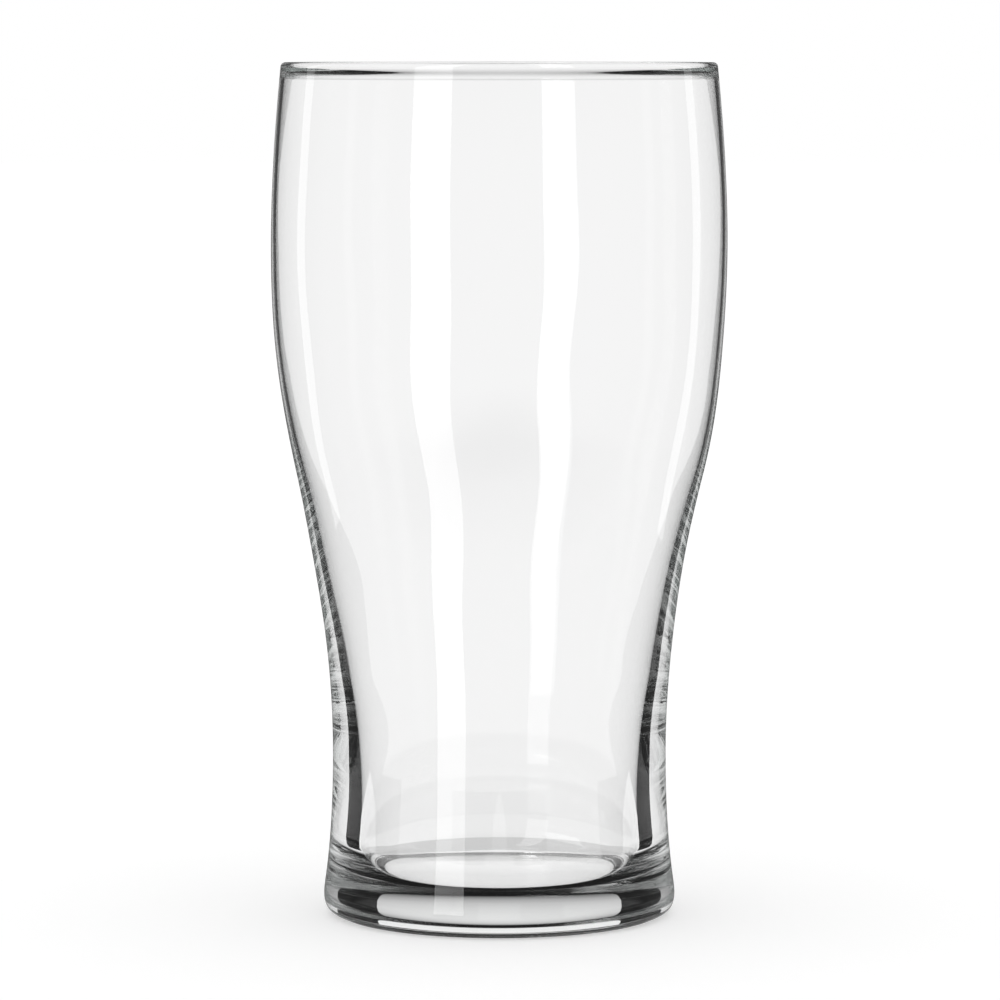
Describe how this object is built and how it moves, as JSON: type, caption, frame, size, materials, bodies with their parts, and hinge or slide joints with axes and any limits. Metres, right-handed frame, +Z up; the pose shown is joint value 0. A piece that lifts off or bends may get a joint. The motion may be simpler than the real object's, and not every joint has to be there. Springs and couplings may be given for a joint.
{
  "type": "beer glass",
  "caption": "Clear tulip-shaped beer glass: heavy thick base, narrow waist, wide belly and rounded lip. Stands on a flat ring and holds a drink in its open bowl.",
  "frame": {"origin": "centre of the ring that the glass stands on, at table level", "axes": "+Z up along the axis of the glass, towards its mouth; the glass is round, so X and Y are free"},
  "size_m": [0.0826, 0.0826, 0.1548],
  "materials": {
    "clear_glass": "fire-polished, clear soda-lime glass"
  },
  "bodies": {
    "root": {"base": "clear_glass", "waist_wall": "clear_glass", "bowl_wall": "clear_glass", "rim": "clear_glass"}
  },
  "joints": []
}
